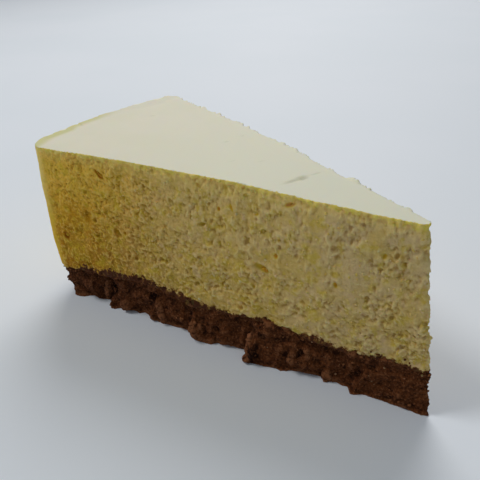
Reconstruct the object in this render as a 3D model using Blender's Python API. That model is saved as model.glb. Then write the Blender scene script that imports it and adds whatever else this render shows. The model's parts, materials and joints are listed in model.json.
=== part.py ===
"""A slice of peach mousse cake, cut from a round cake that was set in a ring.

Two solids: the base of pressed biscuit crumbs, and the mousse that stands on it.
Metres, +Z up. The tip of the slice points to +X and its arc end faces -X.
The origin is on the underside, at the middle of the slice's footprint box.
"""

import math

import bmesh
import bpy
from mathutils import Vector, noise

# Driving dimensions
CAKE_RADIUS = 0.130  # the ring's inside, so the slice's outer wall
SLICE_ANGLE = math.radians(28)
SLICE_HEIGHT = 0.0512  # to the rim of the top, without the dome and the lip
BASE_HEIGHT = 0.0128  # of the crumb base
SEAM_GAP = 0.0003  # keeps the two solids apart

# The plan: a wedge with its tip and its two outer corners rounded off
TIP_START = 0.004  # from the point where the two cuts would meet
TIP_ROUNDING = 0.0014
TIP_LEAN = 0.0075  # how far the tip falls back between the plate and the top
NEAR_CORNER_ROUNDING = 0.008  # on the -Y side, which the knife dragged in
FAR_CORNER_ROUNDING = 0.003
WALL_SKEW = 0.0018  # the cuts don't meet quite at the cake's middle, so one runs longer
FAR_BOW = 0.0007  # the cut on the +Y side bows out

# The outer wall bulges between the base and the top, and tucks in at the foot
WALL_TUCK = 0.0030
WALL_BULGE = 0.0012
WALL_TUCK_HEIGHT = 0.019
WALL_FADE = 6  # the power by which the wall's form dies away towards the tip

# The top: a slow dome, and the lip that the mousse left on the ring as it set
TOP_DOME = 0.0015
TOP_SWELL, TOP_SWELL_SIZE = 0.0004, 0.030
LIP_HEIGHT = 0.0018
LIP_WIDTH = 0.0040

# The seam between the base and the mousse rises and falls, and drops at the wall
SEAM_ROLL, SEAM_ROLL_LENGTH, SEAM_ROLL_PEAK = 0.0009, 0.041, 0.048
SEAM_WAVE, SEAM_WAVE_SIZE = 0.0006, 0.009
SEAM_DROP, SEAM_DROP_WIDTH = 0.0080, 0.0075

# The cuts: the knife's drift, and soft dents in the mousse
CUT_WANDER, CUT_WANDER_SIZE = 0.0009, 0.045
DENT_DEPTH, DENT_SIZE = 0.0004, 0.0060

# The crumb base: lumps with creases between them, and ledges where it broke under the knife
LUMP_DEPTH, LUMP_SIZE, CREASE_WIDTH = 0.0016, 0.0064, 0.42
GRAIN_DEPTH, GRAIN_SIZE = 0.0006, 0.0036
# Each ledge: where it starts, out from the cake's middle, and how proud it stands there and at its other end
LEDGES = (
    (0.1240, 0.0000, -0.0030),
    (0.1050, 0.0000, -0.0026),
    (0.0890, -0.0004, -0.0010),
    (0.0740, 0.0012, -0.0012),
    (0.0535, 0.0042, -0.0006),
    (0.0315, 0.0010, -0.0018),
    (0.0235, 0.0014, 0.0000),
    (0.0, 0.0, 0.0),
)
LEDGE_SLANT, LEDGE_RISE = 0.30, 0.0016
LEDGE_SEAM_SHARE = 0.4  # how much of a ledge is left up at the seam
FAR_LEDGE_SHIFT = 0.009  # the other cut breaks at other places
LUMP_LEVEL = 0.75  # the share of a lump's depth that lies below the flat of the cut
WALL_ROUGHNESS = 0.3  # the ring pressed the wall nearly smooth
WALL_EDGE, WALL_EDGE_FADE = 0.001, 0.006
TIP_ROUGHNESS = 0.25  # the narrow tip has no room for lumps
TIP_ROUGH_START, TIP_ROUGH_FADE = 0.008, 0.020

# How finely each solid is divided
STATIONS, CORNER_STEPS, TIP_STEPS = 88, 5, 3  # along the slice
COLUMNS = 8  # across it
BASE_ROWS = 7
MOUSSE_ROWS = 9

BASE_COLOUR = (0.105, 0.048, 0.026, 1)
MOUSSE_COLOUR = (0.74, 0.58, 0.24, 1)


def ease(value):
    """0 to 1 with a soft start and end."""
    value = min(1.0, max(0.0, value))
    return value * value * (3 - 2 * value)


def station_radius(index):
    """The distance from the cake's middle of each cut across the slice, closer set where it is rounded."""
    tip_end = TIP_START + TIP_ROUNDING
    corner_start = CAKE_RADIUS - FAR_CORNER_ROUNDING
    last_plain = STATIONS - CORNER_STEPS
    if index < TIP_STEPS:
        turn = math.pi / 2 * index / TIP_STEPS
        return tip_end - TIP_ROUNDING * math.cos(turn)
    if index > last_plain:
        turn = math.pi / 2 * (index - last_plain) / CORNER_STEPS
        return corner_start + FAR_CORNER_ROUNDING * math.sin(turn)
    return tip_end + (corner_start - tip_end) * (index - TIP_STEPS) / (last_plain - TIP_STEPS)


def rounded_off(from_end, radius):
    """How much a corner of this radius takes off the side, at a distance from the slice's end."""
    if from_end >= radius:
        return 0.0
    return radius - math.sqrt(max(0.0, radius**2 - (radius - from_end) ** 2))


def half_angle(radius, corner):
    """Half the angle that the slice spans at this distance from the cake's middle."""
    taken = rounded_off(CAKE_RADIUS - radius, corner)
    taken += rounded_off(radius - TIP_START, TIP_ROUNDING)
    return SLICE_ANGLE / 2 - taken / radius


def wall_shift(height):
    """How far the outer wall stands out at this height, against the ring it was set in."""
    tucked = (1 - ease(height / WALL_TUCK_HEIGHT)) * WALL_TUCK
    bulging = math.sin(math.pi * min(1.0, height / SLICE_HEIGHT)) * WALL_BULGE
    return bulging - tucked


def seam_height(x, y):
    """The top of the crumb base, which the mousse follows."""
    radius = math.hypot(x, y)
    roll = SEAM_ROLL * math.cos(2 * math.pi * (radius - SEAM_ROLL_PEAK) / SEAM_ROLL_LENGTH)
    wave = SEAM_WAVE * noise.noise(Vector((x, y, 0.0)) / SEAM_WAVE_SIZE)
    drop = SEAM_DROP * math.exp((radius - CAKE_RADIUS) / SEAM_DROP_WIDTH)
    return BASE_HEIGHT + roll + wave - drop


def top_height(x, y):
    """The top of the mousse: domed, and drawn up where it met the ring."""
    radius = math.hypot(x, y)
    dome = TOP_DOME * math.sin(math.pi * min(1.0, radius / CAKE_RADIUS))
    swell = TOP_SWELL * noise.noise(Vector((x, y, 0.5)) / TOP_SWELL_SIZE)
    return SLICE_HEIGHT + dome + swell + LIP_HEIGHT * math.exp((radius - CAKE_RADIUS) / LIP_WIDTH)


def place(radius, across, height):
    """A point of the slice from its distance to the cake's middle, its share of the half angle, and its height."""
    inward = radius / CAKE_RADIUS
    angle = across * half_angle(radius, NEAR_CORNER_ROUNDING if across < 0 else FAR_CORNER_ROUNDING)
    shifted = radius + (wall_shift(height) + WALL_SKEW * across) * inward**WALL_FADE
    lean = TIP_LEAN * height / SLICE_HEIGHT * (1 - inward)
    bow = FAR_BOW * math.sin(math.pi * inward) * max(0.0, across)
    return Vector((-shifted * math.cos(angle) - lean, shifted * math.sin(angle) + bow, height))


def block(name, rows):
    """A cube divided into stations along X, columns along Y and rows along Z."""
    bpy.ops.mesh.primitive_cube_add(size=1, location=(0, 0, 0))
    obj = bpy.context.object
    obj.name = name
    mesh = bmesh.new()
    mesh.from_mesh(obj.data)
    for axis, parts in enumerate((STATIONS, COLUMNS, rows)):
        along = [e for e in mesh.edges if abs(e.verts[0].co[axis] - e.verts[1].co[axis]) > 0.5]
        bmesh.ops.subdivide_edges(mesh, edges=along, cuts=parts - 1, use_grid_fill=True)
    return obj, mesh


def shape(mesh, floor, ceiling):
    """Bends a divided cube into the slice, between two heights that are functions of the plan."""
    for vert in mesh.verts:
        radius = station_radius(round((vert.co.x + 0.5) * STATIONS))
        across, share = 2 * vert.co.y, vert.co.z + 0.5
        level = place(radius, across, 0.0)
        low, high = floor(level.x, level.y), ceiling(level.x, level.y)
        vert.co = place(radius, across, low + share * (high - low))
    bmesh.ops.recalc_face_normals(mesh, faces=mesh.faces)


def roughen(mesh, relief):
    """Moves the points of the sides out or in, level, by the relief at each; the flats stay as they are."""
    mesh.normal_update()
    moves = []
    for vert in mesh.verts:
        flats = [face for face in vert.link_faces if abs(face.normal.z) > 0.9]
        outward = Vector((vert.normal.x, vert.normal.y, 0))
        if len(flats) < len(vert.link_faces) and outward.length > 1e-6:
            moves.append((vert, outward.normalized() * relief(vert.co)))
    for vert, move in moves:
        vert.co += move


def cut_share(point):
    """1 on the two cuts, and 0 on the wall that the ring pressed."""
    from_wall = CAKE_RADIUS - math.hypot(point.x, point.y)
    return ease((from_wall - WALL_EDGE) / WALL_EDGE_FADE)


def wander(point):
    """The knife's slow drift from a flat cut."""
    return CUT_WANDER * noise.noise(point / CUT_WANDER_SIZE)


def ledge(point):
    """How proud of the cut the foot of the base stands, where it broke into ledges."""
    along = math.hypot(point.x, point.y) + LEDGE_SLANT * point.z
    if point.y > 0:
        along -= FAR_LEDGE_SHIFT
    before = 0.0
    for (start, proud, left), (end, _, _) in zip(LEDGES, LEDGES[1:]):
        if along > start:
            return before + (proud - before) * ease(1 - (along - start) / LEDGE_RISE)
        if along > end + LEDGE_RISE:
            return left + (proud - left) * (along - end) / (start - end)
        before = left
    return 0.0


def crumb_relief(point):
    """The broken side of the base, which is plainer on the wall and at the narrow tip."""
    nearest, second = noise.voronoi(point / LUMP_SIZE)[0][:2]
    lump = LUMP_DEPTH * (ease((second - nearest) / CREASE_WIDTH) - LUMP_LEVEL)
    grain = GRAIN_DEPTH * noise.noise(point / GRAIN_SIZE)
    cut = cut_share(point)
    rough = WALL_ROUGHNESS + (1 - WALL_ROUGHNESS) * cut
    broken = ledge(point) * (1 - (1 - LEDGE_SEAM_SHARE) * ease(point.z / BASE_HEIGHT))
    from_tip = math.hypot(point.x, point.y) - TIP_ROUGH_START
    room = TIP_ROUGHNESS + (1 - TIP_ROUGHNESS) * ease(from_tip / TIP_ROUGH_FADE)
    return wander(point) + room * (cut * broken + rough * (lump + grain))


def mousse_relief(point):
    """The mousse as the knife left it: soft dents and swells."""
    return wander(point) + DENT_DEPTH * noise.noise(point / DENT_SIZE)


def finish(obj, mesh, colour, roughness):
    """Writes the mesh to its object, shades it smooth and gives it a plain material."""
    mesh.to_mesh(obj.data)
    mesh.free()
    obj.data.shade_smooth()
    obj.data.set_sharp_from_angle(angle=math.radians(50))
    material = bpy.data.materials.new(obj.name)
    material.use_nodes = True
    shader = material.node_tree.nodes["Principled BSDF"]
    shader.inputs["Base Color"].default_value = colour
    shader.inputs["Roughness"].default_value = roughness
    shader.inputs["Metallic"].default_value = 0.0
    material.diffuse_color = colour
    obj.data.materials.append(material)
    return obj


def make_base():
    obj, mesh = block("biscuit_base", BASE_ROWS)
    shape(mesh, lambda x, y: 0.0, seam_height)
    roughen(mesh, crumb_relief)
    underside = [face for face in mesh.faces if face.normal.z < -0.999]
    bmesh.ops.dissolve_faces(mesh, faces=underside)
    return finish(obj, mesh, BASE_COLOUR, 0.9)


def make_mousse():
    obj, mesh = block("mousse", MOUSSE_ROWS)
    shape(mesh, lambda x, y: seam_height(x, y) + SEAM_GAP, top_height)
    roughen(mesh, mousse_relief)
    return finish(obj, mesh, MOUSSE_COLOUR, 0.6)


def centre(objects):
    """Shifts the slice so that the origin is under the middle of its footprint box."""
    points = [vert.co for obj in objects for vert in obj.data.vertices]
    middle_x = (min(p.x for p in points) + max(p.x for p in points)) / 2
    middle_y = (min(p.y for p in points) + max(p.y for p in points)) / 2
    for obj in objects:
        obj.location = (-middle_x, -middle_y, 0)


def main():
    for obj in list(bpy.data.objects):
        bpy.data.objects.remove(obj)
    cake = bpy.data.collections.new("peach_mousse_cake_slice")
    bpy.context.scene.collection.children.link(cake)
    solids = [make_base(), make_mousse()]
    for obj in solids:
        for holder in list(obj.users_collection):
            holder.objects.unlink(obj)
        cake.objects.link(obj)
    centre(solids)


main()
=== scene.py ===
"""A slice of peach mousse cake: a smooth ivory top, porous yellow cuts and a base of pressed cocoa crumbs.

Metres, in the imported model's frame: the outer wall faces -X, the tip points to +X, and +Z is up.
"""

import json
import math

import bpy
import numpy as np
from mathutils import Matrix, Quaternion, Vector, noise
from mathutils.bvhtree import BVHTree
from mathutils.kdtree import KDTree

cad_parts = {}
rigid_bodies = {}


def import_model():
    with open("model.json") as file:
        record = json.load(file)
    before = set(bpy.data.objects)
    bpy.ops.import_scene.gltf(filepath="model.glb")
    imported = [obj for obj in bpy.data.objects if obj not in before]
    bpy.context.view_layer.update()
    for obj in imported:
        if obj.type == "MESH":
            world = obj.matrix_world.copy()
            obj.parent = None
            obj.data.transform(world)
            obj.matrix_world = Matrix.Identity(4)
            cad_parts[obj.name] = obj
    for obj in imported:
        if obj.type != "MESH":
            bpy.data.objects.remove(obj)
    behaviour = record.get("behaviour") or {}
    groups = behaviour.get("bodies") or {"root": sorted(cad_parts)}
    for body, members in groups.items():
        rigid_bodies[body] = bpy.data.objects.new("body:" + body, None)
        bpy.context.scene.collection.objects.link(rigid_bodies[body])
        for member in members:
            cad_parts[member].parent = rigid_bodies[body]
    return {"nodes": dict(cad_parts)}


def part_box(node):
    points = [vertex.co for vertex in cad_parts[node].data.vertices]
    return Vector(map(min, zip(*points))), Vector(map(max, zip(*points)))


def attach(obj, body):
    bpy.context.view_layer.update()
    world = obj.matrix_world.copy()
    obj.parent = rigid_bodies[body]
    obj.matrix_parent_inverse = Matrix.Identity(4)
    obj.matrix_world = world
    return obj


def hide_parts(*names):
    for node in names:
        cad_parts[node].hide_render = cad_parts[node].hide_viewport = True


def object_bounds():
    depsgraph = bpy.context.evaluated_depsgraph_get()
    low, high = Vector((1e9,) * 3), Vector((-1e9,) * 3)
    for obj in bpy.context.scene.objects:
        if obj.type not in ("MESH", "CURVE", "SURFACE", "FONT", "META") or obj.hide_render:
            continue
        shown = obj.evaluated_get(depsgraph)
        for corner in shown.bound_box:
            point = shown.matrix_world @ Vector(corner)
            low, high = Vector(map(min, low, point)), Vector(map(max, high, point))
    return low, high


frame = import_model()
CAD_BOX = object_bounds()
_, BASE_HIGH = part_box("biscuit_base")
MOUSSE_LOW, MOUSSE_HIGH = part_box("mousse")

# The cake that the slice was cut from: its middle lies past the tip, and a little to the near side
PAST_TIP = 0.0039
ASIDE = -0.0014
CAKE_MIDDLE = Vector((BASE_HIGH.x + PAST_TIP, ASIDE, 0.0))
CAKE_RADIUS = 0.130
NEAR_CUT = math.radians(14)
TO_WALL = Vector((-math.cos(NEAR_CUT), -math.sin(NEAR_CUT), 0))

# The camera stands close, over the near cut
EYE = Vector((0.1003, -0.1039, 0.1081))
AIM = Vector((0.0, 0.0, 0.026))
ROLL = math.radians(-2.0)
LENS = 42.4

# The lamps: a name, where each stands, how wide it is, its power and its colour
LAMPS = (
    ("window", (-0.55, 0.75, 0.95), 0.9, 8.4, (1.0, 0.98, 0.95)),
    ("sky", (-0.42, -0.36, 0.85), 0.35, 3.0, (1.0, 0.99, 0.97)),
    ("room", (0.75, -0.45, 0.35), 0.6, 0.60, (0.78, 0.90, 1.0)),
)
ROOM_COLOUR = (0.78, 0.89, 1.0, 1)
ROOM_STRENGTH = 0.14

# How finely the pieces are made
MOUSSE_GRID = 0.00032
BASE_GRID = 0.00028
MOST_TRIANGLES = 192000

# How far up a face has to look to be part of a top
LOOKS_UP = 0.7

# How wide the patches are where the mousse tore more or less
PATCH_SIZE = 0.0045

# The relief of the mousse: a pattern's name, size and detail, how far it moves the surface, the grey
# that stays in place, the region, and the space it is read in
MOUSSE_RELIEF = (
    ("soft_dents", 0.0052, 1, 0.0012, 0.5, "cut", ""),
    ("knife_lines", 0.0011, 1, 0.0005, 0.5, "dragged", "drawn"),
    ("tufts", 0.0021, 2, 0.0017, 0.5, "torn_low", ""),
    ("tufts", 0.0021, 2, 0.0017, 0.5, "torn_high", "tall"),
    ("froth", 0.0010, 1, 0.0013, 0.5, "torn_low", ""),
    ("froth", 0.0010, 1, 0.0013, 0.5, "torn_high", "tall"),
    ("pits", 0.0025, 1, 0.0003, 1.0, "torn", ""),
    ("nibbles", 0.0014, 1, 0.0018, 0.43, "edge", ""),
    ("bites", 0.0032, 1, 0.0016, 0.42, "far_edge", ""),
)

# How many times as long as wide the patterns come out in a stretched space
STRETCHES = {"tall": 1.4, "drawn": 4}

# Only the lowest parts of a pattern burst into pits, as (place, grey) pairs
BURSTS = ((0.0, 0.0), (0.20, 0.0), (0.32, 1.0))

# How far the named places of the mousse sink
MOUSSE_SINKS = {"hollows": 0.0006, "marks": 0.0003, "nick": 0.0005}

# The creases of the base, as (place, grey) pairs
CREASES = ((0.0, 0.0), (0.12, 0.55), (0.30, 1.0))

# How far the base and the mousse reach into each other along the seam
SEAM_BITE = 0.0010

# The seam on the near cut: how far from the cake's middle, and how high
SEAM = (
    (0.020, 0.0122),
    (0.028, 0.0122),
    (0.031, 0.0130),
    (0.035, 0.0139),
    (0.039, 0.0123),
    (0.043, 0.0130),
    (0.048, 0.0140),
    (0.056, 0.0132),
    (0.065, 0.0124),
    (0.073, 0.0142),
    (0.084, 0.0144),
    (0.090, 0.0159),
    (0.096, 0.0143),
    (0.102, 0.0147),
    (0.109, 0.0120),
    (0.113, 0.0129),
    (0.120, 0.0093),
)

# Ledges where the crumbs of the near cut broke: how far from the cake's middle, how high, how wide and
# how long, how many degrees they lean toward the wall, and how far they stand out, or in where negative
LEDGES = (
    (0.1125, 0.0045, 0.0020, 0.0095, -12, 0.0005),
    (0.1072, 0.0048, 0.0024, 0.0100, -14, 0.0012),
    (0.1030, 0.0070, 0.0044, 0.0044, 0, -0.0007),
    (0.0985, 0.0030, 0.0050, 0.0050, 20, 0.0006),
    (0.0876, 0.0090, 0.0022, 0.0056, 0, -0.0009),
    (0.0850, 0.0045, 0.0030, 0.0095, 8, 0.0012),
    (0.0712, 0.0036, 0.0044, 0.0070, -15, 0.0010),
    (0.0736, 0.0070, 0.0020, 0.0050, -10, -0.0007),
    (0.0533, 0.0055, 0.0022, 0.0120, -12, 0.0016),
    (0.0535, 0.0010, 0.0036, 0.0026, 50, 0.0012),
    (0.0510, 0.0034, 0.0030, 0.0070, -10, -0.0010),
    (0.0405, 0.0048, 0.0024, 0.0070, -8, 0.0008),
    (0.0386, 0.0045, 0.0018, 0.0060, -5, -0.0006),
    (0.0366, 0.0072, 0.0024, 0.0060, 20, 0.0006),
    (0.0300, 0.0020, 0.0050, 0.0040, 0, 0.0008),
)

# The proportions of the lumps that loose crumbs and grains are copies of
LUMPS = ((1.0, 0.8, 0.7), (0.9, 0.65, 0.8), (1.0, 0.9, 0.55))

# How wide the crumbs are that make the ledges ragged
CRUMB_SIZE = 0.0016

# How far the boldest ledge stands out, and an ordinary one
BOLD_LEDGE = 0.0016
PLAIN_LEDGE = 0.0008

# Hollows in the near cut: how far from the cake's middle, how high, how wide and how long, how many
# degrees they lean toward the wall, and how much peach has stained them
HOLLOWS = (
    (0.1181, 0.0236, 0.0020, 0.0030, 8, 1.0),
    (0.1080, 0.0320, 0.0034, 0.0042, -11, 0.4),
    (0.1049, 0.0317, 0.0016, 0.0016, 0, 0.3),
    (0.1010, 0.0469, 0.0012, 0.0038, 44, 1.0),
    (0.0971, 0.0294, 0.0018, 0.0032, 41, 0.4),
    (0.0940, 0.0298, 0.0012, 0.0014, 10, 0.7),
    (0.0840, 0.0370, 0.0010, 0.0015, 20, 0.2),
    (0.0698, 0.0198, 0.0014, 0.0020, -71, 0.2),
    (0.0676, 0.0503, 0.0010, 0.0015, 12, 0.8),
    (0.0668, 0.0393, 0.0012, 0.0027, -74, 0.3),
    (0.0618, 0.0348, 0.0011, 0.0018, 5, 0.3),
    (0.0616, 0.0448, 0.0009, 0.0012, 6, 1.0),
    (0.0598, 0.0508, 0.0012, 0.0018, 11, 0.5),
    (0.0578, 0.0459, 0.0008, 0.0025, 28, 0.6),
    (0.0538, 0.0499, 0.0011, 0.0018, -77, 0.4),
    (0.0519, 0.0243, 0.0009, 0.0014, 7, 0.3),
    (0.0511, 0.0456, 0.0011, 0.0018, -80, 0.4),
    (0.0497, 0.0306, 0.0023, 0.0048, 73, 0.4),
    (0.0489, 0.0301, 0.0015, 0.0026, 73, 0.8),
    (0.0494, 0.0410, 0.0014, 0.0024, -69, 0.3),
    (0.0457, 0.0352, 0.0011, 0.0015, 26, 0.9),
    (0.0449, 0.0398, 0.0009, 0.0014, -80, 0.3),
    (0.0421, 0.0499, 0.0010, 0.0028, -71, 1.0),
    (0.0300, 0.0310, 0.0010, 0.0018, 15, 0.6),
    (0.0190, 0.0420, 0.0009, 0.0016, -20, 0.5),
)

# Marks in the smooth top: where their middles are, how wide and how long, and how many degrees they
# turn from the Y axis toward the tip
TOP_MARKS = (
    (0.0224, -0.0033, 0.0013, 0.0085, 12),
    (0.0229, -0.0009, 0.0024, 0.0042, 12),
    (0.0238, 0.0034, 0.0008, 0.0044, 14),
    (0.0025, -0.0046, 0.0006, 0.0024, 20),
    (0.0085, 0.0004, 0.0006, 0.0026, 15),
    (-0.0097, 0.0057, 0.0009, 0.0018, 30),
    (-0.0096, 0.0127, 0.0007, 0.0022, -20),
    (-0.0485, 0.0101, 0.0009, 0.0020, 40),
    (0.0116, 0.0115, 0.0008, 0.0014, 0),
)

# How stained a hollow is that holds a bit of peach
MUCH_PEACH = 0.75

# How wide a hollow or a mark has to be to reach its full depth
FULL_HOLLOW = 0.0014
FULL_MARK = 0.0018

# A nick in the rim of the outer wall: where it ends, and how far it runs toward the near cut
NICK_END = -0.0103
NICK_LENGTH = 0.0030


# ---------------------------------------------------------------- shared moves


def only(*pieces):
    """Selects these pieces alone and makes the first one active."""
    bpy.ops.object.select_all(action="DESELECT")
    for piece in pieces:
        piece.select_set(True)
    bpy.context.view_layer.objects.active = pieces[0]


def apply_modifiers(piece):
    """Makes the piece's modifiers part of its mesh, in their order."""
    only(piece)
    for modifier in list(piece.modifiers):
        bpy.ops.object.modifier_apply(modifier=modifier.name)


def cad_copy(node, name):
    """A copy of a node's mesh as a new piece, with its loose triangles merged."""
    piece = frame["nodes"][node].copy()
    piece.data = frame["nodes"][node].data.copy()
    piece.name = piece.data.name = name
    for key in list(piece.keys()):
        del piece[key]
    piece.parent = None
    bpy.context.collection.objects.link(piece)
    only(piece)
    bpy.ops.object.mode_set(mode="EDIT")
    bpy.ops.mesh.select_all(action="SELECT")
    bpy.ops.mesh.remove_doubles(threshold=1e-6)
    bpy.ops.object.mode_set(mode="OBJECT")
    return piece


def column(values, kind, width=3):
    """A mesh's values, such as its points' places, as an array with one row each."""
    read = np.empty(len(values) * width, np.float32 if kind != "vertices" else np.int32)
    values.foreach_get(kind, read)
    return read.reshape(-1, width).astype(float if kind != "vertices" else int)


def reach(piece, direction, distance):
    """Draws the face that looks up (1) or down (-1) out along Z, a little narrower at its end."""
    only(piece)
    bpy.ops.object.mode_set(mode="EDIT")
    bpy.ops.mesh.select_all(action="DESELECT")
    bpy.ops.object.mode_set(mode="OBJECT")
    for face in piece.data.polygons:
        face.select = face.normal.z * direction > 0.8
    bpy.ops.object.mode_set(mode="EDIT")
    bpy.ops.mesh.extrude_region_move(TRANSFORM_OT_translate={"value": (0, 0, distance)})
    bpy.ops.transform.resize(value=(0.975, 0.93, 1))
    bpy.ops.object.mode_set(mode="OBJECT")


def remesh(piece, size, smoothing):
    """Remakes the piece in even cells and softens the flat faces of its solid."""
    grid = piece.modifiers.new("even_cells", "REMESH")
    grid.mode = "VOXEL"
    grid.voxel_size = size
    soften = piece.modifiers.new("soften", "SMOOTH")
    soften.factor, soften.iterations = 0.5, smoothing
    apply_modifiers(piece)


def weigh(piece, name, weights):
    """A vertex group with these weights, in steps of a twentieth."""
    group = piece.vertex_groups.new(name=name)
    steps = np.round(np.clip(weights, 0, 1) * 20).astype(int)
    for step in range(1, 21):
        group.add(np.nonzero(steps == step)[0].tolist(), step / 20, "REPLACE")


def store(piece, name, values):
    """Keeps a number for each point, for a material to read."""
    attribute = piece.data.attributes.new(name, "FLOAT", "POINT")
    attribute.data.foreach_set("value", values.astype(np.float32))


def between(values, start, end):
    """0 to 1 while the values go from start to end, which may be the lower one, softly at both ends."""
    share = np.clip((values - start) / (end - start), 0, 1)
    return share * share * (3 - 2 * share)


def facing_near(normals):
    """1 on the near cut, and 0 where the surface faces elsewhere."""
    return between(-normals[:, 1], 0.3, 0.7)


def from_middle(places):
    """How far each place lies from the middle of the whole cake."""
    return np.hypot(places[:, 0] - CAKE_MIDDLE.x, places[:, 1] - CAKE_MIDDLE.y)


def level_of(node, places):
    """The height of a solid's top above or below each of these places, from its three nearest points."""
    mesh = frame["nodes"][node].data
    lowest = MOUSSE_HIGH.z - 0.003 if node == "mousse" else MOUSSE_LOW.z
    upward = [face for face in mesh.polygons if face.normal.z > LOOKS_UP]
    tops = {tuple(mesh.vertices[i].co) for face in upward for i in face.vertices}
    tops = [place for place in tops if place[2] > lowest]
    tree = KDTree(len(tops))
    for index, (x, y, z) in enumerate(tops):
        tree.insert((x, y, 0), index)
    tree.balance()
    heights = [z for x, y, z in tops]
    levels = np.empty(len(places))
    for row, (x, y, z) in enumerate(places):
        near = tree.find_n((x, y, 0), 3)
        shares = [1 / (gap + 1e-5) for _, _, gap in near]
        levels[row] = sum(heights[i] * share for (_, i, _), share in zip(near, shares)) / sum(shares)
    return levels


def from_wall(places):
    """How far each place lies inside the outer wall, whose distance from the middle changes a little."""
    walls = column(frame["nodes"]["mousse"].data.vertices, "co")
    aims = [
        np.arctan2(points[:, 1] - CAKE_MIDDLE.y, CAKE_MIDDLE.x - points[:, 0]) for points in (walls, places)
    ]
    gaps = [from_middle(points) for points in (walls, places)]
    sectors = np.linspace(-1.1 * NEAR_CUT, 1.1 * NEAR_CUT, 25)
    middles = (sectors[1:] + sectors[:-1]) / 2
    farthest = np.zeros(len(middles))
    np.maximum.at(farthest, np.clip(np.digitize(aims[0], sectors) - 1, 0, len(middles) - 1), gaps[0])
    full = farthest > CAKE_RADIUS - 0.004
    return np.interp(aims[1], middles[full], farthest[full]) - gaps[1]


def seam_level(places, near_side):
    """The height of the seam at each place: the solid's, and on the near cut the line in SEAM."""
    radius = from_middle(places)
    ways_out, heights = zip(*SEAM)
    line = np.interp(radius, ways_out, heights)
    solid = level_of("biscuit_base", places)
    inner, outer = ways_out[0], ways_out[-1]
    share = near_side * between(radius, inner, inner + 0.006) * between(radius, outer + 0.004, outer)
    return solid + share * (line - solid)


def pattern(name, kind, size, ramp=None, **settings):
    """A solid texture for a Displace modifier. The ramp is (place, grey) pairs."""
    made = bpy.data.textures.new(name, kind)
    made.noise_scale = size
    for key, value in settings.items():
        setattr(made, key, value)
    if ramp:
        made.use_color_ramp = True
        stops = made.color_ramp.elements
        while len(stops) < len(ramp):
            stops.new(0.5)
        for stop, (place, grey) in zip(stops, ramp):
            stop.position, stop.color = place, (grey, grey, grey, 1)
    return made


def press(piece, texture, depth, level=0.5, group="", along=None):
    """Moves the surface in and out by a texture, in the space of an empty where one is given.

    depth is how far white stands above black, and level the grey that stays in place.
    """
    made = piece.modifiers.new("press", "DISPLACE")
    made.texture = texture
    made.texture_coords = "OBJECT" if along else "LOCAL"
    made.texture_coords_object = along
    made.strength, made.mid_level = depth, level
    made.vertex_group = group


def stretched(name, scale):
    """An empty whose space a texture is read in, so that it comes out longer along an axis."""
    empty = bpy.data.objects.new(name, None)
    empty.scale = scale
    bpy.context.collection.objects.link(empty)
    return empty


def thin_out(piece):
    """Brings the piece under the most triangles, taking them first where it is flat."""
    triangles = sum(len(face.vertices) - 2 for face in piece.data.polygons)
    if triangles > MOST_TRIANGLES:
        fewer = piece.modifiers.new("fewer", "DECIMATE")
        fewer.ratio = MOST_TRIANGLES / triangles
        apply_modifiers(piece)


def store_hollows(piece, name, rounds, depth):
    """Stores how deep each point lies below its surroundings, from -1 to 1, for the material to read."""
    places, normals = column(piece.data.vertices, "co"), column(piece.data.vertices, "normal")
    ends = column(piece.data.edges, "vertices", 2)
    joined = np.bincount(ends.ravel(), minlength=len(places))[:, None]
    calm = places.copy()
    for _ in range(rounds):
        near = [
            np.bincount(ends[:, 0], calm[ends[:, 1], axis], len(places))
            + np.bincount(ends[:, 1], calm[ends[:, 0], axis], len(places))
            for axis in range(3)
        ]
        calm = (calm + np.stack(near, axis=1) / joined) / 2
    sunk = ((calm - places) * normals).sum(axis=1) / depth
    store(piece, name, np.clip(sunk, -1, 1))


def hold_in_box(piece):
    """Keeps every point inside the solids' own box."""
    places = np.clip(column(piece.data.vertices, "co"), CAD_BOX[0], CAD_BOX[1])
    piece.data.vertices.foreach_set("co", places.astype(np.float32).ravel())
    piece.data.update()


def even_shading(piece):
    """Lets large faces set the shading where they meet small ones."""
    only(piece)
    bpy.ops.object.shade_smooth()
    piece.modifiers.new("even_shading", "WEIGHTED_NORMAL")
    apply_modifiers(piece)


def join(name, *pieces):
    """One piece made of several."""
    only(*pieces)
    bpy.ops.object.join()
    pieces[0].name = pieces[0].data.name = name
    return pieces[0]


def crumb_models(name, roughness):
    """Three irregular lumps a unit wide, in a collection of their own, for sprinkle to copy."""
    kept = bpy.data.collections.new(name)
    bpy.context.scene.collection.children.link(kept)
    for number, squash in enumerate(LUMPS):
        bpy.ops.object.select_all(action="DESELECT")
        bpy.ops.mesh.primitive_ico_sphere_add(subdivisions=1, radius=0.5, scale=squash)
        lump = bpy.context.object
        lump.name = f"{name}_{number}"
        bpy.ops.object.transform_apply(location=False, rotation=False, scale=True)
        bpy.ops.object.mode_set(mode="EDIT")
        bpy.ops.mesh.select_all(action="SELECT")
        bpy.ops.transform.vertex_random(offset=roughness, seed=number + 3)
        bpy.ops.object.mode_set(mode="OBJECT")
        for holder in list(lump.users_collection):
            holder.objects.unlink(lump)
        kept.objects.link(lump)
    return kept


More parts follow.
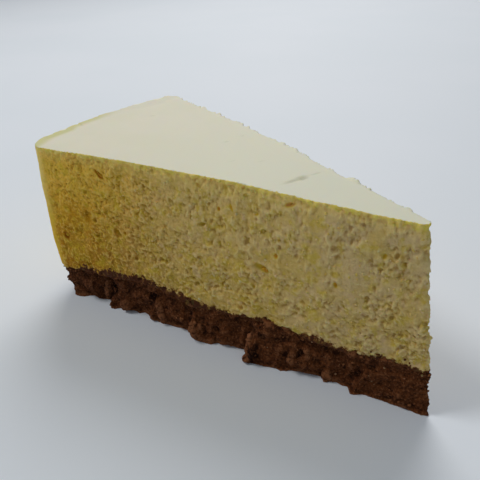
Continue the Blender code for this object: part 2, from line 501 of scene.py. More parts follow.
def sprinkle(name, ground, group, models, density, sizes, sunk, seed):
    """Copies of the models all over the ground, as thick as its vertex group says, as one mesh.

    density is copies per square metre where the group is 1, sizes their smallest and largest width, with
    small ones the more common, and sunk how much of that width lies in the ground.
    """
    bpy.ops.object.select_all(action="DESELECT")
    piece = ground.copy()
    piece.data = ground.data.copy()
    piece.name = piece.data.name = name
    for key in list(piece.keys()):
        del piece[key]
    bpy.context.collection.objects.link(piece)
    tree = bpy.data.node_groups.new(name, "GeometryNodeTree")
    tree.interface.new_socket("Geometry", in_out="INPUT", socket_type="NodeSocketGeometry")
    tree.interface.new_socket("Geometry", in_out="OUTPUT", socket_type="NodeSocketGeometry")
    add, link = tree.nodes.new, tree.links.new
    thickness = add("GeometryNodeInputNamedAttribute")
    thickness.data_type = "FLOAT"
    thickness.inputs["Name"].default_value = group
    dense = add("ShaderNodeMath")
    dense.operation = "MULTIPLY"
    dense.inputs[1].default_value = density
    link(thickness.outputs["Attribute"], dense.inputs[0])
    points = add("GeometryNodeDistributePointsOnFaces")
    points.inputs["Seed"].default_value = seed
    link(add("NodeGroupInput").outputs["Geometry"], points.inputs["Mesh"])
    link(dense.outputs[0], points.inputs["Density"])
    chance = add("FunctionNodeRandomValue")
    chance.inputs["Seed"].default_value = seed + 1
    biased = add("ShaderNodeMath")
    biased.operation = "POWER"
    biased.inputs[1].default_value = 2.0
    link(chance.outputs[1], biased.inputs[0])
    width = add("ShaderNodeMapRange")
    width.inputs["To Min"].default_value, width.inputs["To Max"].default_value = sizes
    link(biased.outputs[0], width.inputs["Value"])
    depth = add("ShaderNodeMath")
    depth.operation = "MULTIPLY"
    depth.inputs[1].default_value = 0.5 - sunk
    link(width.outputs["Result"], depth.inputs[0])
    out = add("ShaderNodeVectorMath")
    out.operation = "SCALE"
    link(points.outputs["Normal"], out.inputs[0])
    link(depth.outputs[0], out.inputs["Scale"])
    placed = add("GeometryNodeSetPosition")
    link(points.outputs["Points"], placed.inputs["Geometry"])
    link(out.outputs[0], placed.inputs["Offset"])
    source = add("GeometryNodeCollectionInfo")
    source.inputs["Collection"].default_value = models
    source.inputs["Separate Children"].default_value = True
    source.inputs["Reset Children"].default_value = True
    turn = add("FunctionNodeRandomValue")
    turn.data_type = "FLOAT_VECTOR"
    turn.inputs["Max"].default_value = (math.tau, math.tau, math.tau)
    turn.inputs["Seed"].default_value = seed + 2
    copies = add("GeometryNodeInstanceOnPoints")
    copies.inputs["Pick Instance"].default_value = True
    link(placed.outputs["Geometry"], copies.inputs["Points"])
    link(source.outputs["Instances"], copies.inputs["Instance"])
    link(turn.outputs["Value"], copies.inputs["Rotation"])
    link(width.outputs["Result"], copies.inputs["Scale"])
    real = add("GeometryNodeRealizeInstances")
    link(copies.outputs["Instances"], real.inputs["Geometry"])
    link(real.outputs["Geometry"], add("NodeGroupOutput").inputs["Geometry"])
    made = piece.modifiers.new("sprinkle", "NODES")
    made.node_group = tree
    apply_modifiers(piece)
    bpy.data.node_groups.remove(tree)
    return piece


def settle(piece, material, slot, *nodes):
    """Finishes a piece: its material and its body, and hides the solids that it stands in for."""
    piece.data.materials.clear()
    piece.data.materials.append(material)
    piece.vertex_groups.clear()
    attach(piece, "root")
    if nodes:
        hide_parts(*nodes)
    return piece


# ---------------------------------------------------------------- shader parts


class Shader:
    """A material's node tree, with short ways to add what this cake's finishes are made of."""

    def __init__(self, name):
        self.material = bpy.data.materials.new(name)
        self.material.use_nodes = True
        self.nodes = self.material.node_tree.nodes
        self.links = self.material.node_tree.links
        self.surface = self.nodes["Principled BSDF"]
        self.place = self.nodes.new("ShaderNodeTexCoord").outputs["Object"]

    def link(self, value, socket):
        """Joins another node's output to the socket, or sets the socket to a number or a colour."""
        if hasattr(value, "links"):
            self.links.new(value, socket)
        else:
            socket.default_value = value

    def scaled(self, scale, offset=(0, 0, 0)):
        """The piece's own coordinates, moved and stretched."""
        made = self.nodes.new("ShaderNodeMapping")
        made.inputs["Location"].default_value = offset
        made.inputs["Scale"].default_value = scale
        self.links.new(self.place, made.inputs["Vector"])
        return made.outputs["Vector"]

    def noise(self, size, detail=2.0, roughness=0.5, vector=None):
        """Cloudy noise whose lumps are about this wide."""
        made = self.nodes.new("ShaderNodeTexNoise")
        made.inputs["Scale"].default_value = 1 / size
        made.inputs["Detail"].default_value = detail
        made.inputs["Roughness"].default_value = roughness
        self.links.new(vector or self.place, made.inputs["Vector"])
        return made.outputs["Fac"]

    def span(self, value, low, high, to_low=0.0, to_high=1.0):
        """The value with low to high stretched over to_low to to_high, and held there."""
        made = self.nodes.new("ShaderNodeMapRange")
        made.interpolation_type = "SMOOTHSTEP"
        self.link(value, made.inputs["Value"])
        for key, amount in zip(("From Min", "From Max", "To Min", "To Max"), (low, high, to_low, to_high)):
            made.inputs[key].default_value = amount
        return made.outputs["Result"]

    def math(self, operation, first, second):
        made = self.nodes.new("ShaderNodeMath")
        made.operation = operation
        self.link(first, made.inputs[0])
        self.link(second, made.inputs[1])
        return made.outputs["Value"]

    def mix(self, share, first, second):
        """The first colour where the share is 0, and the second where it is 1."""
        made = self.nodes.new("ShaderNodeMix")
        made.data_type = "RGBA"
        self.link(share, made.inputs["Factor"])
        self.link(first, made.inputs["A"])
        self.link(second, made.inputs["B"])
        return made.outputs["Result"]

    def attribute(self, name):
        """A number that store kept for each point."""
        made = self.nodes.new("ShaderNodeAttribute")
        made.attribute_name = name
        return made.outputs["Fac"]

    def axis(self, vector, letter):
        made = self.nodes.new("ShaderNodeSeparateXYZ")
        self.links.new(vector, made.inputs["Vector"])
        return made.outputs[letter]

    def from_middle(self):
        """The distance from the middle of the whole cake."""
        flat = self.scaled((1, 1, 0), (-CAKE_MIDDLE.x, -CAKE_MIDDLE.y, 0))
        made = self.nodes.new("ShaderNodeVectorMath")
        made.operation = "LENGTH"
        self.links.new(flat, made.inputs[0])
        return made.outputs["Value"]

    def bump(self, height, distance, strength=1.0):
        made = self.nodes.new("ShaderNodeBump")
        self.link(strength, made.inputs["Strength"])
        made.inputs["Distance"].default_value = distance
        self.links.new(height, made.inputs["Height"])
        return made.outputs["Normal"]

    def finish(self, colour, roughness, normal=None, **settings):
        """The material, with a setting's name written as its socket's, but with _ for each space."""
        self.link(colour, self.surface.inputs["Base Color"])
        self.link(roughness, self.surface.inputs["Roughness"])
        if normal:
            self.links.new(normal, self.surface.inputs["Normal"])
        for key, value in settings.items():
            self.link(value, self.surface.inputs[key.replace("_", " ")])
        return self.material


# -------------------------------------------------------------------- colours


def srgb(red, green, blue):
    """A colour given in display values of 0 to 255."""

    def linear(value):
        value /= 255
        return value / 12.92 if value <= 0.04045 else ((value + 0.055) / 1.055) ** 2.4

    return (linear(red), linear(green), linear(blue), 1)


# The cut of the mousse and its loose grains, in pairs: far from the outer wall, and close to it. The tuft
# highlights and the hollow shade among them are painted light and shade
CUT_ABOVE = srgb(227, 193, 120), srgb(236, 176, 40)
CUT_BELOW = srgb(219, 181, 100), srgb(184, 122, 18)
PALE_CUT = srgb(232, 198, 154), srgb(234, 190, 92)
BRIGHT_SPECKS = srgb(250, 222, 146), srgb(255, 212, 76)
DIM_SPECKS = srgb(164, 124, 40), srgb(170, 118, 14)
PAINTED_TUFT_HIGHLIGHTS = srgb(240, 218, 152), srgb(244, 206, 104)
HOLLOW_SHADE = srgb(176, 142, 64), srgb(150, 106, 10)
AMBER_STAIN = srgb(212, 176, 34), srgb(196, 140, 18)
BROWN_STAIN = srgb(206, 120, 36), srgb(158, 86, 10)
GRAIN_ABOVE = srgb(228, 196, 124), srgb(232, 182, 70)
GRAIN_BELOW = srgb(218, 190, 112), srgb(192, 146, 30)
PALE_GRAIN = srgb(230, 206, 160), srgb(230, 190, 84)

# The rest of the cut, its upper edge and the outer wall, with painted light high near the wall and along
# the brow, painted shade in the pores, and painted shadow in dashes below the rim
LIT_CUT = srgb(255, 206, 84)
TIP_CUT = srgb(218, 194, 152)
OLIVE_CLOUDS = srgb(208, 174, 52)
OLIVE_SPOTS = srgb(212, 182, 44)
PORE_SHADE = srgb(172, 122, 22)
COCOA_SMEAR = srgb(150, 104, 50)
COCOA_DUST = srgb(84, 45, 23)
WALL_BELOW, WALL_ABOVE = srgb(240, 198, 52), srgb(252, 226, 132)
LIT_BROW = srgb(252, 224, 128)
RIM_SHADOW_DASHES = srgb(196, 140, 44)
LIT_RIM = srgb(236, 214, 100), srgb(242, 216, 122)
GRAIN_CLOUDS = srgb(214, 182, 60)
GRAIN_ON_TOP = srgb(230, 212, 110)
GRAIN_ON_BASE = srgb(160, 124, 92)

# The skin, inward and at the wall, the painted shade on the inner slope of the lip that it forms there,
# ivory on the far side and greener near, and a painted highlight along the lip's crest
SKIN = srgb(225, 224, 201), srgb(238, 232, 210)
SKIN_CLOUDS = srgb(231, 228, 202)
SHADED_LIP = srgb(208, 207, 182), srgb(212, 208, 140)
LIP_CREST_HIGHLIGHT = srgb(244, 240, 218)
MARK_SHADE = srgb(186, 184, 152)

# Peach
AMBER_FLESH = srgb(190, 118, 30), srgb(208, 166, 34)
PALE_FLESH = srgb(206, 158, 70)

# Cocoa crumbs, with the painted shade of their creases and gaps and the painted highlights of their lumps
# and ledges
CRUMB_DARK, CRUMB_MID, PALE_CRUMB_AND_HIGHLIGHT = srgb(84, 43, 18), srgb(104, 56, 25), srgb(140, 89, 56)
CREASE_SHADE, BROAD_SHADE = srgb(52, 25, 13), srgb(50, 24, 13)
LEDGE_HIGHLIGHT = srgb(168, 108, 72)
GAP_SHADE = srgb(42, 19, 10)
GRIT_SHADE = srgb(48, 23, 12)
CREAM_ON_CRUMBS = srgb(206, 170, 84)
LOOSE_CRUMB = srgb(84, 46, 26), srgb(116, 68, 40)
PALE_LOOSE_CRUMB = srgb(144, 92, 56)

# The floor
FLOOR = srgb(236, 241, 248), srgb(233, 239, 246)

# Where the colours change: over these distances from the middle, and over these heights
TO_THE_WALL = CAKE_RADIUS - 0.062, CAKE_RADIUS - 0.016
TO_THE_BASE = MOUSSE_HIGH.z - 0.004, MOUSSE_LOW.z + 0.006


# ------------------------------------------------------------------- finishes


def cut_colour(s, radius, height):
    """Yellow mousse, deeper toward the wall and the base, stained by peach, with painted olive shade in its
    pores and hollows, painted highlights on its tufts, and painted light high on the cut near the wall.
    """
    near_wall = s.span(radius, *TO_THE_WALL)
    low = s.span(height, *TO_THE_BASE)
    cut = s.mix(low, s.mix(near_wall, *CUT_ABOVE), s.mix(near_wall, *CUT_BELOW))
    # Painted light: the upper cut near the wall is lighter, as if lit through the mousse
    lit = s.math("MULTIPLY", near_wall, s.span(height, 0.028, 0.048))
    cut = s.mix(s.span(lit, 0, 1, 0.0, 0.8), cut, LIT_CUT)
    cut = s.mix(s.span(radius, 0.062, 0.030, 0.0, 0.45), cut, TIP_CUT)
    cut = s.mix(s.span(s.noise(0.0065, 2), 0.42, 0.62, 0.0, 0.4), cut, OLIVE_CLOUDS)
    cut = s.mix(s.span(s.noise(0.0030, 2), 0.50, 0.66, 0.0, 0.55), cut, OLIVE_SPOTS)
    pale = s.mix(near_wall, *PALE_CUT)
    cut = s.mix(s.span(s.noise(0.0022, 3), 0.54, 0.74, 0.0, 0.55), cut, pale)

    speckle, strewn = s.noise(0.0008, 2, 0.6), s.span(radius, 0.040, 0.110, 0.15, 0.45)
    bright, dim = s.mix(near_wall, *BRIGHT_SPECKS), s.mix(near_wall, *DIM_SPECKS)
    cut = s.mix(s.math("MULTIPLY", strewn, s.span(speckle, 0.52, 0.68)), cut, bright)
    cut = s.mix(s.math("MULTIPLY", strewn, s.span(speckle, 0.48, 0.32)), cut, dim)

    sunk = s.attribute("hollow")
    # Painted shade in the pores and painted highlights on the tufts, by how deep each point lies
    cut = s.mix(s.span(sunk, 0.15, 1.00, 0.0, 0.5), cut, PORE_SHADE)
    cut = s.mix(s.span(sunk, -0.10, -0.80, 0.0, 0.45), cut, s.mix(near_wall, *PAINTED_TUFT_HIGHLIGHTS))
    # Painted shade in the hollows, by how deep each one is
    hollow = s.mix(near_wall, *HOLLOW_SHADE)
    cut = s.mix(s.span(s.attribute("hole"), 0.1, 0.9, 0.0, 0.85), cut, hollow)
    stain = s.attribute("stain")
    cut = s.mix(s.span(stain, 0.05, 0.45, 0.0, 0.85), cut, s.mix(near_wall, *AMBER_STAIN))
    cut = s.mix(s.span(stain, 0.30, 0.75, 0.0, 0.90), cut, s.mix(near_wall, *BROWN_STAIN))

    ragged = s.span(s.noise(0.0014, 3, 0.6), 0.35, 0.65, -0.32, 0.26)
    smear = s.math("ADD", s.attribute("smear"), ragged)
    cut = s.mix(s.span(smear, 0.35, 0.70), cut, COCOA_SMEAR)
    cut = s.mix(s.span(smear, 0.55, 0.85), cut, COCOA_DUST)
    wall = s.mix(s.span(height, 0.022, 0.045), WALL_BELOW, WALL_ABOVE)
    return s.mix(s.math("MULTIPLY", s.attribute("wall"), 0.75), cut, wall)


def rim_colour(s, cut, height):
    """The cut, with painted light along its brow, painted shadow in dashes under the rim, and the uneven
    yellow rim under the skin, painted lighter as if its lumps caught the light.
    """
    drips = s.span(s.noise(0.0018, 2, vector=s.scaled((1, 1, 0.5))), 0.30, 0.70, -0.55, 0.25)
    rim = s.attribute("rim")
    shadow_dashes = s.math("MULTIPLY", s.span(drips, -0.10, -0.40), s.span(rim, 0.0, 0.25))
    # Painted light: the cut lighter just under the skin, as if lit from above
    lit_brow = s.span(height, MOUSSE_HIGH.z - 0.0055, MOUSSE_HIGH.z - 0.0020, 0.0, 0.4)
    cut = s.mix(lit_brow, cut, LIT_BROW)
    # Painted shadow: darker dashes below the rim
    cut = s.mix(s.math("MULTIPLY", shadow_dashes, 0.2), cut, RIM_SHADOW_DASHES)
    # The rim is yellow of its own, painted lighter as if its lumps caught the light
    yellow = s.mix(s.span(s.noise(0.0016, 2), 0.4, 0.6), *LIT_RIM)
    return s.mix(s.span(s.math("ADD", rim, drips), 0.15, 0.70), cut, yellow)


def skin_colour(s, radius):
    """The ivory skin, with painted shade on the inner slope of its lip at the wall, greener on the near
    side, a painted highlight along the lip's crest, and greyer in its marks.
    """
    skin = s.mix(s.span(radius, CAKE_RADIUS - 0.110, CAKE_RADIUS), *SKIN)
    skin = s.mix(s.span(s.noise(0.016, 3), 0.35, 0.7, 0.0, 0.5), skin, SKIN_CLOUDS)
    wall_gap = s.attribute("wall_gap")
    lip = s.math("MULTIPLY", s.span(wall_gap, 0.0052, 0.0022), s.span(wall_gap, 0.0002, 0.0010, 0.1, 1.0))
    greener = s.span(s.axis(s.place, "Y"), 0.010, -0.006)
    lip = s.math("MULTIPLY", lip, s.span(greener, 0, 1, 0.25, 0.80))
    # Painted shade on the lip's inner slope, and a painted highlight along its crest
    skin = s.mix(lip, skin, s.mix(greener, *SHADED_LIP))
    skin = s.mix(s.span(wall_gap, 0.0009, 0.0003), skin, LIP_CREST_HIGHLIGHT)
    return s.mix(s.math("MULTIPLY", s.attribute("mark"), 0.8), skin, MARK_SHADE)


def mousse_finish():
    """Porous yellow mousse with its smooth ivory skin, whose edge runs unevenly along the cuts."""
    s = Shader("peach_mousse")
    radius, height = s.from_middle(), s.axis(s.place, "Z")
    cut = rim_colour(s, cut_colour(s, radius, height), height)
    edge = s.math("ADD", s.attribute("skin"), s.span(s.noise(0.0010, 2), 0.3, 0.7, -0.3, 0.3))
    on_top = s.span(edge, 0.40, 0.60)
    colour = s.mix(on_top, cut, skin_colour(s, radius))

    toward_tip = s.span(radius, 0.034, 0.024, 0.0, 0.4)
    pore_depth = s.math("ADD", s.span(radius, 0.040, 0.090, 0.50, 1.0), toward_tip)
    pores = s.bump(s.noise(0.0006, 3, 0.65), 0.0005, pore_depth)
    grain = s.bump(s.noise(0.004, 4, 0.6), 0.0002, 0.25)
    normal = s.nodes.new("ShaderNodeMix")
    normal.data_type = "VECTOR"
    s.link(on_top, normal.inputs["Factor"])
    s.links.new(pores, normal.inputs["A"])
    s.links.new(grain, normal.inputs["B"])
    roughness = s.math("SUBTRACT", 0.78, s.math("MULTIPLY", on_top, 0.30))
    return s.finish(
        colour,
        roughness,
        normal.outputs["Result"],
        Subsurface_Weight=0.25,
        Subsurface_Radius=(1.0, 0.62, 0.22),
        Subsurface_Scale=0.003,
        Specular_IOR_Level=0.15,
    )


def grain_finish():
    """Loose grains of mousse: each a little yellower or paler than the next, and browner on the base."""
    s = Shader("mousse_grain")
    height = s.axis(s.place, "Z")
    near_wall = s.span(s.from_middle(), *TO_THE_WALL)
    low = s.span(height, *TO_THE_BASE)
    colour = s.mix(low, s.mix(near_wall, *GRAIN_ABOVE), s.mix(near_wall, *GRAIN_BELOW))
    colour = s.mix(s.span(s.noise(0.0026, 1), 0.48, 0.60, 0.0, 0.4), colour, GRAIN_CLOUDS)
    pale = s.mix(near_wall, *PALE_GRAIN)
    colour = s.mix(s.span(s.noise(0.0021, 1), 0.54, 0.64, 0.0, 0.7), colour, pale)
    top = s.span(height, MOUSSE_HIGH.z - 0.0048, MOUSSE_HIGH.z - 0.0028)
    colour = s.mix(s.math("MULTIPLY", top, 0.6), colour, GRAIN_ON_TOP)
    colour = s.mix(s.span(height, 0.0125, 0.0115), colour, GRAIN_ON_BASE)
    fuzz = s.bump(s.noise(0.0005, 2, 0.6), 0.0002, 0.5)
    return s.finish(
        colour,
        0.9,
        fuzz,
        Subsurface_Weight=0.3,
        Subsurface_Scale=0.001,
        Specular_IOR_Level=0.1,
    )


def peach_finish():
    """Amber peach, clouded, with paler fibres."""
    s = Shader("peach_flesh")
    colour = s.mix(s.span(s.noise(0.0012, 3, 0.6), 0.35, 0.65), *AMBER_FLESH)
    colour = s.mix(s.span(s.noise(0.0006, 2), 0.60, 0.75), colour, PALE_FLESH)
    fibres = s.bump(s.noise(0.0005, 3, 0.6, s.scaled((1, 1, 0.4))), 0.0003, 0.6)
    return s.finish(
        colour,
        0.45,
        fibres,
        Subsurface_Weight=0.3,
        Subsurface_Scale=0.0015,
        Specular_IOR_Level=0.15,
    )


def crumb_finish():
    """Cocoa crumbs: three browns, with painted shade in the creases, the gaps and toward the wall, and
    painted highlights on the lumps and the ledges.
    """
    s = Shader("cocoa_crumb")
    fine, broad, ledge = s.attribute("hollow"), s.attribute("broad_hollow"), s.attribute("ledge")
    colour = s.mix(s.span(s.noise(0.0035, 4, 0.6), 0.35, 0.65), CRUMB_MID, CRUMB_DARK)
    colour = s.mix(s.span(s.noise(0.0009, 3, 0.6), 0.55, 0.80, 0.0, 0.8), colour, PALE_CRUMB_AND_HIGHLIGHT)
    # Painted shade in the creases, and painted highlights on the lumps, by how deep each point lies
    colour = s.mix(s.span(fine, 0.05, 0.9, 0.0, 0.6), colour, CREASE_SHADE)
    colour = s.mix(s.span(broad, 0.10, 0.9, 0.0, 0.6), colour, BROAD_SHADE)
    colour = s.mix(s.span(fine, -0.15, -0.9, 0.0, 0.4), colour, PALE_CRUMB_AND_HIGHLIGHT)
    colour = s.mix(s.span(broad, -0.20, -0.9, 0.0, 0.7), colour, PALE_CRUMB_AND_HIGHLIGHT)
    # Painted highlights on the ledges, and painted shadow in the gaps beside them
    colour = s.mix(s.span(ledge, 0.3, 1.0, 0.0, 0.6), colour, PALE_CRUMB_AND_HIGHLIGHT)
    colour = s.mix(s.span(ledge, 1.0, 1.9, 0.0, 0.7), colour, LEDGE_HIGHLIGHT)
    colour = s.mix(s.span(ledge, -0.2, -0.9, 0.0, 0.8), colour, GAP_SHADE)
    # Painted shade, darker toward the wall where less light reaches
    colour = s.mix(s.span(s.from_middle(), 0.080, 0.115, 0.0, 0.35), colour, CREASE_SHADE)
    speckle = s.noise(0.0006, 2, 0.6)
    colour = s.mix(s.span(speckle, 0.52, 0.70, 0.0, 0.70), colour, PALE_CRUMB_AND_HIGHLIGHT)
    colour = s.mix(s.span(speckle, 0.48, 0.32, 0.0, 0.70), colour, GRIT_SHADE)
    ragged = s.span(s.noise(0.0012, 3, 0.6), 0.35, 0.65, -0.4, 0.4)
    creamy = s.math("ADD", s.attribute("cream"), ragged)
    colour = s.mix(s.span(creamy, 0.45, 0.75), colour, CREAM_ON_CRUMBS)
    grit = s.bump(s.noise(0.0006, 4, 0.7), 0.0004)
    return s.finish(colour, 0.9, grit, Specular_IOR_Level=0.12)


def loose_crumb_finish():
    """Loose cocoa crumbs, each one brown of its own."""
    s = Shader("loose_cocoa_crumb")
    colour = s.mix(s.span(s.noise(0.0012, 1), 0.42, 0.58), *LOOSE_CRUMB)
    colour = s.mix(s.span(s.noise(0.0017, 1), 0.56, 0.64), colour, PALE_LOOSE_CRUMB)
    fuzz = s.bump(s.noise(0.0004, 2, 0.6), 0.0002, 0.6)
    return s.finish(colour, 0.9, fuzz, Specular_IOR_Level=0.12)


# --------------------------------------------------------------------- pieces


def on_near_cut(radius, height):
    """A place on the near cut, and the way that the cut faces there."""
    aim = CAKE_MIDDLE + TO_WALL * radius + Vector((0, 0, height))
    outside = aim + Vector((math.sin(NEAR_CUT), -math.cos(NEAR_CUT), 0)) * 0.02
    solid = frame["nodes"]["mousse"].data
    tree = BVHTree.FromPolygons([v.co for v in solid.vertices], [f.vertices[:] for f in solid.polygons])
    place, facing, _, _ = tree.ray_cast(outside, aim - outside)
    return place, facing


def oval(places, middle, across, along, width, length, soft=0.9):
    """1 in an oval place and 0 outside it, with a soft edge that ends a little past the oval."""
    off = places - np.array(middle)
    aside = off @ np.array(across) / (width / 2)
    onward = off @ np.array(along) / (length / 2)
    return between(np.hypot(aside, onward), 1.3, 1.3 - soft)


def leaning(lean):
    """The way across and the way along an oval of the near cut that leans so many degrees to the wall."""
    turned = math.radians(lean)
    across = TO_WALL * math.cos(turned) - Vector((0, 0, math.sin(turned)))
    along = TO_WALL * math.sin(turned) + Vector((0, 0, math.cos(turned)))
    return across, along


def hollows_of_cut(places, near_side):
    """How deep each point lies in a hollow of the near cut, and how much peach has stained it."""
    depth, stain = np.zeros(len(places)), np.zeros(len(places))
    for out, height, width, length, lean, peach in HOLLOWS:
        middle, _ = on_near_cut(out, height)
        across, along = leaning(lean)
        inside = oval(places, middle, across, along, width, length, 1.0) * near_side
        depth = np.maximum(depth, inside * min(1, width / FULL_HOLLOW))
        around = oval(places, middle, across, along, 1.4 * width, 1.2 * length, 1.2) * near_side
        stain = np.maximum(stain, around * peach)
    return depth, stain


def ledges_of_cut(places, near_side):
    """How far each point stands out on a ledge of the near cut, or in beside one, in metres."""
    rise, fall = np.zeros(len(places)), np.zeros(len(places))
    for out, height, width, length, lean, stands in LEDGES:
        middle = CAKE_MIDDLE + TO_WALL * out + Vector((0, 0, height))
        inside = oval(places, middle, *leaning(lean), width, length) * near_side
        rise = np.maximum(rise, inside * stands)
        fall = np.minimum(fall, inside * stands)
    ragged = np.array([noise.noise(Vector(place) / CRUMB_SIZE) for place in places])
    ragged = np.clip(0.85 + 0.9 * ragged, 0.2, 1.3)
    return rise * ragged, fall * ragged


def marks_of_top(places):
    """How deep each point lies in one of the marks in the top."""
    depth = np.zeros(len(places))
    for x, y, width, length, turn in TOP_MARKS:
        turned = math.radians(turn)
        along = (math.sin(turned), math.cos(turned), 0)
        across = (math.cos(turned), -math.sin(turned), 0)
        inside = oval(places, (x, y, 0), across, along, width, length, 1.2)
        depth = np.maximum(depth, inside * min(1, width / FULL_MARK))
    return depth * (places[:, 2] > MOUSSE_HIGH.z - 0.004)


def mousse_regions(piece):
    """Marks out where the mousse is cut, dragged, hollow or smooth, for its relief and its colours."""
    places, normals = column(piece.data.vertices, "co"), column(piece.data.vertices, "normal")
    radius, aside, height = from_middle(places), places[:, 1], places[:, 2]
    near_side = facing_near(normals)
    below_top = level_of("mousse", places) - height
    above_seam = height - seam_level(places, near_side)
    wall_gap = from_wall(places)
    in_wall = between(wall_gap, 0.006, 0.001)
    tilt = np.abs(normals[:, 2])
    upright = between(tilt, 0.90, 0.55)
    cut = upright * (1 - 0.8 * in_wall)
    dragged = between(radius, CAKE_RADIUS - 0.020, CAKE_RADIUS - 0.008)

    patches = np.array([noise.noise(Vector(place) / PATCH_SIZE) for place in places])
    torn = cut * (1 - 0.5 * dragged) * between(below_top, 0, 0.0010) * np.clip(0.70 + patches, 0.15, 1)
    torn *= 0.75 + 0.25 * between(radius, 0.035, 0.065) + 0.25 * between(radius, 0.034, 0.024)
    high = between(height, 0.026, 0.040) * between(radius, 0.086, 0.070)
    weigh(piece, "cut", cut * between(below_top, 0, 0.0018))
    weigh(piece, "torn", torn)
    weigh(piece, "torn_high", torn * high)
    weigh(piece, "torn_low", torn * (1 - high))
    weigh(piece, "dragged", cut * (0.15 + 0.85 * dragged))

    edge = between(tilt, 0.94, 0.69) * between(below_top, 0.0014, 0) * (1 - 0.8 * in_wall)
    weigh(piece, "edge", edge)
    weigh(piece, "far_edge", edge * between(aside - 0.006 * in_wall, 0, 0.003))
    run_out = between(aside, NICK_END - NICK_LENGTH, NICK_END - NICK_LENGTH + 0.004)
    nick = between(aside, NICK_END, NICK_END - 0.0006) * run_out
    weigh(piece, "nick", nick * in_wall * between(below_top, 0.0020, 0))

    depth, stain = hollows_of_cut(places, near_side)
    marks = marks_of_top(places)
    weigh(piece, "hollows", depth)
    weigh(piece, "marks", marks)

    band = upright * between(below_top, 0.0016, 0) * (1 - in_wall) * near_side
    grainy = 0.35 * cut * (1 - 0.9 * dragged) * between(above_seam, 0, 0.002)
    grainy *= np.maximum(near_side, between(below_top, 0.0015, 0.0030))
    weigh(piece, "grainy", np.maximum(grainy, 0.4 * band))
    smeared = between(above_seam, 0.0025, -0.0005)
    weigh(piece, "smeared", upright * smeared * between(above_seam, -0.0005, 0))

    flat = between(normals[:, 2] + 0.34 * in_wall, 0.84, 0.96)
    far_rim = between(normals[:, 1], 0, 0.3) * between(below_top, 0.0022, 0)
    store(piece, "skin", np.maximum(flat * (below_top < 0.0012), far_rim))
    store(piece, "rim", between(below_top, 0.0022, 0))
    store(piece, "wall", in_wall * upright)
    store(piece, "stain", stain)
    store(piece, "hole", depth)
    store(piece, "mark", marks)
    store(piece, "wall_gap", wall_gap)
    store(piece, "smear", smeared)


def mousse():
    """The body of the mousse, with the pores and streaks that the knife opened on its two cuts."""
    piece = cad_copy("mousse", "mousse_body")
    reach(piece, -1, -SEAM_BITE)
    remesh(piece, MOUSSE_GRID, smoothing=2)
    mousse_regions(piece)
    spaces = {name: stretched(f"{name}_space", (1, 1, length)) for name, length in STRETCHES.items()}
    for name, size, detail, depth, level, region, space in MOUSSE_RELIEF:
        texture = pattern(name, "CLOUDS", size, BURSTS if name == "pits" else None, noise_depth=detail)
        press(piece, texture, depth, level, region, spaces.get(space))
    for region, depth in MOUSSE_SINKS.items():
        press(piece, None, -depth, 0.0, region)
    apply_modifiers(piece)
    for space in spaces.values():
        bpy.data.objects.remove(space)
    thin_out(piece)
    hold_in_box(piece)
    store_hollows(piece, "hollow", rounds=10, depth=0.00022)
    return piece


def base():
    """The pressed crumbs: lumps and creases down to a fraction of a millimetre."""
    piece = cad_copy("biscuit_base", "crumb_base")
    reach(piece, 1, SEAM_BITE)
    remesh(piece, BASE_GRID, smoothing=5)
    places, normals = column(piece.data.vertices, "co"), column(piece.data.vertices, "normal")
    near_side = facing_near(normals)
    sides = between(np.abs(normals[:, 2]), 0.9, 0.6) * between(places[:, 2], 0, 0.0012)
    above_seam = places[:, 2] - seam_level(places, near_side)
    ledges, gaps = ledges_of_cut(places, near_side)
    weigh(piece, "sides", sides)
    weigh(piece, "ledges", ledges / BOLD_LEDGE)
    weigh(piece, "gaps", -gaps / BOLD_LEDGE)
    store(piece, "ledge", (ledges + gaps) / PLAIN_LEDGE)
    store(piece, "cream", sides * between(above_seam, 0.0005, 0.0015))
    cracked = pattern("cracks", "VORONOI", 0.0050, CREASES, weight_1=-1.0, weight_2=1.0)
    lobes = pattern("lobes", "CLOUDS", 0.0050, noise_depth=1, noise_type="HARD_NOISE")
    crumbs = pattern("crumbs", "CLOUDS", 0.0015, noise_depth=2)
    grit = pattern("grit", "CLOUDS", 0.0006, noise_depth=2)
    press(piece, cracked, depth=0.0007, level=0.75, group="sides")
    press(piece, lobes, depth=0.0012, level=0.45, group="sides")
    press(piece, crumbs, depth=0.0006, level=0.48, group="sides")
    press(piece, grit, depth=0.0006, level=0.50, group="sides")
    press(piece, None, depth=BOLD_LEDGE, level=0.0, group="ledges")
    press(piece, None, depth=-BOLD_LEDGE, level=0.0, group="gaps")
    apply_modifiers(piece)
    thin_out(piece)
    hold_in_box(piece)
    store_hollows(piece, "hollow", rounds=12, depth=0.00035)
    store_hollows(piece, "broad_hollow", rounds=120, depth=0.00090)
    return piece


def peach_bits():
    """A sliver of peach at the bottom of each stained hollow."""
    bits = []
    rough = pattern("rough_peach", "CLOUDS", 0.0007, noise_depth=2)
    for out, height, width, length, lean, peach in HOLLOWS:
        if peach <= MUCH_PEACH:
            continue
        place, facing = on_near_cut(out, height)
        sizes = (0.8 * width, width, 0.8 * length)
        bpy.ops.object.select_all(action="DESELECT")
        bpy.ops.mesh.primitive_ico_sphere_add(subdivisions=3, radius=0.5, scale=sizes)
        bit = bpy.context.object
        bpy.ops.object.transform_apply(location=False, rotation=False, scale=True)
        press(bit, rough, 0.5 * width)
        apply_modifiers(bit)
        bit.rotation_euler = (0, -math.radians(lean), NEAR_CUT)
        bit.location = place - facing * (0.0006 + 0.3 * width)
        bpy.ops.object.transform_apply(location=True, rotation=True, scale=True)
        bits.append(bit)
    return join("peach_bits", *bits)


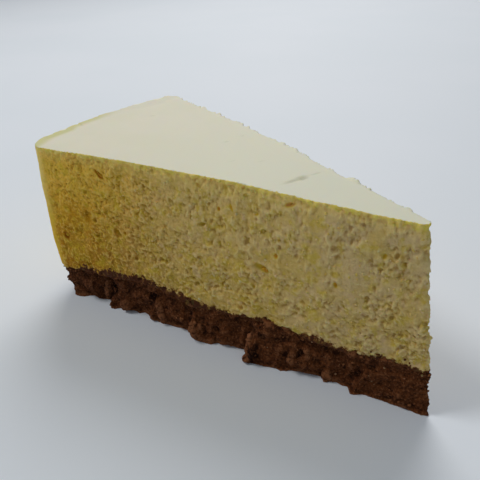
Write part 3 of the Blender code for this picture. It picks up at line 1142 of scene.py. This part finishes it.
def small_things(mousse_piece, base_piece):
    """The grains of mousse on the cuts, and the crumbs round the seam and on the base."""
    grains = crumb_models("grain", roughness=0.18)
    crumbs = crumb_models("crumb", roughness=0.16)
    places, normals = column(base_piece.data.vertices, "co"), column(base_piece.data.vertices, "normal")
    above_seam = places[:, 2] - seam_level(places, facing_near(normals))
    sides = between(np.abs(normals[:, 2]), 0.95, 0.70) * between(places[:, 2], 0.0004, 0.0012)
    crumbly = sides * (0.40 + 0.60 * between(above_seam, -0.0030, 0)) * (above_seam < 0.0006)
    weigh(base_piece, "crumbly", crumbly)
    weigh(base_piece, "speckled", sides * between(places[:, 0], 0.018, 0.024))
    on_mousse = {
        "froth": ("grainy", grains, 0.8e6, (0.0004, 0.0013), 0.6, 11),
        "high_crumbs": ("smeared", crumbs, 1.1e6, (0.00025, 0.0008), 0.50, 31),
    }
    on_base = {
        "low_crumbs": ("crumbly", crumbs, 0.5e6, (0.00035, 0.0013), 0.50, 21),
        "flecks": ("speckled", grains, 0.016e6, (0.0003, 0.0010), 0.3, 41),
    }
    strewn = {name: sprinkle(name, mousse_piece, *row) for name, row in on_mousse.items()}
    strewn |= {name: sprinkle(name, base_piece, *row) for name, row in on_base.items()}
    for models in (grains, crumbs):
        for lump in list(models.objects):
            bpy.data.objects.remove(lump)
        bpy.data.collections.remove(models)
    loose_grains = join("mousse_grains", strewn["froth"], strewn["flecks"])
    return loose_grains, join("loose_crumbs", strewn["low_crumbs"], strewn["high_crumbs"])


def slice_of_cake():
    """The five pieces, each finished and given its body, with the two solids that the base and the mousse
    stand in for hidden.
    """
    base_piece, mousse_piece = base(), mousse()
    grains, crumbs = small_things(mousse_piece, base_piece)
    for piece in (mousse_piece, base_piece):
        even_shading(piece)
    settle(base_piece, crumb_finish(), "biscuit_base", "biscuit_base")
    settle(mousse_piece, mousse_finish(), "mousse", "mousse")
    bpy.ops.object.select_all(action="DESELECT")
    bits = peach_bits()
    for piece, finish, slot in (
        (grains, grain_finish(), "mousse"),
        (crumbs, loose_crumb_finish(), "biscuit_base"),
        (bits, peach_finish(), "mousse"),
    ):
        hold_in_box(piece)
        only(piece)
        bpy.ops.object.shade_smooth()
        settle(piece, finish, slot)


# ---------------------------------------------------------------------- stage


def camera():
    """The camera, turned a little so that the whole slice shows."""
    data = bpy.data.cameras.new("camera")
    data.lens = LENS
    made = bpy.data.objects.new("camera", data)
    made.location = EYE
    turn = (AIM - EYE).to_track_quat("-Z", "Y") @ Quaternion((0, 0, 1), ROLL)
    made.rotation_euler = turn.to_euler()
    bpy.context.collection.objects.link(made)
    bpy.context.scene.camera = made


def lamp(name, place, size, power, colour):
    """A round soft light that shines at the slice."""
    data = bpy.data.lights.new(name, "AREA")
    data.shape, data.size, data.energy, data.color = "DISK", size, power, colour
    made = bpy.data.objects.new(name, data)
    made.location = place
    made.rotation_euler = (-Vector(place)).to_track_quat("-Z", "Y").to_euler()
    bpy.context.collection.objects.link(made)


def stage():
    """A pale floor, a wide soft light high behind the slice, a sky beside it and a weak light in front."""
    bpy.ops.mesh.primitive_plane_add(size=6)
    floor = bpy.context.object
    floor.name = "floor"
    s = Shader("pale_floor")
    grain = s.span(s.noise(0.15, 2), 0.3, 0.7)
    floor.data.materials.append(s.finish(s.mix(grain, *FLOOR), 0.6))
    world = bpy.data.worlds.new("room")
    bpy.context.scene.world = world
    world.use_nodes = True
    background = world.node_tree.nodes["Background"]
    background.inputs["Color"].default_value = ROOM_COLOUR
    background.inputs["Strength"].default_value = ROOM_STRENGTH
    for row in LAMPS:
        lamp(*row)
    bpy.context.scene.view_settings.view_transform = "Standard"


camera()
slice_of_cake()
stage()
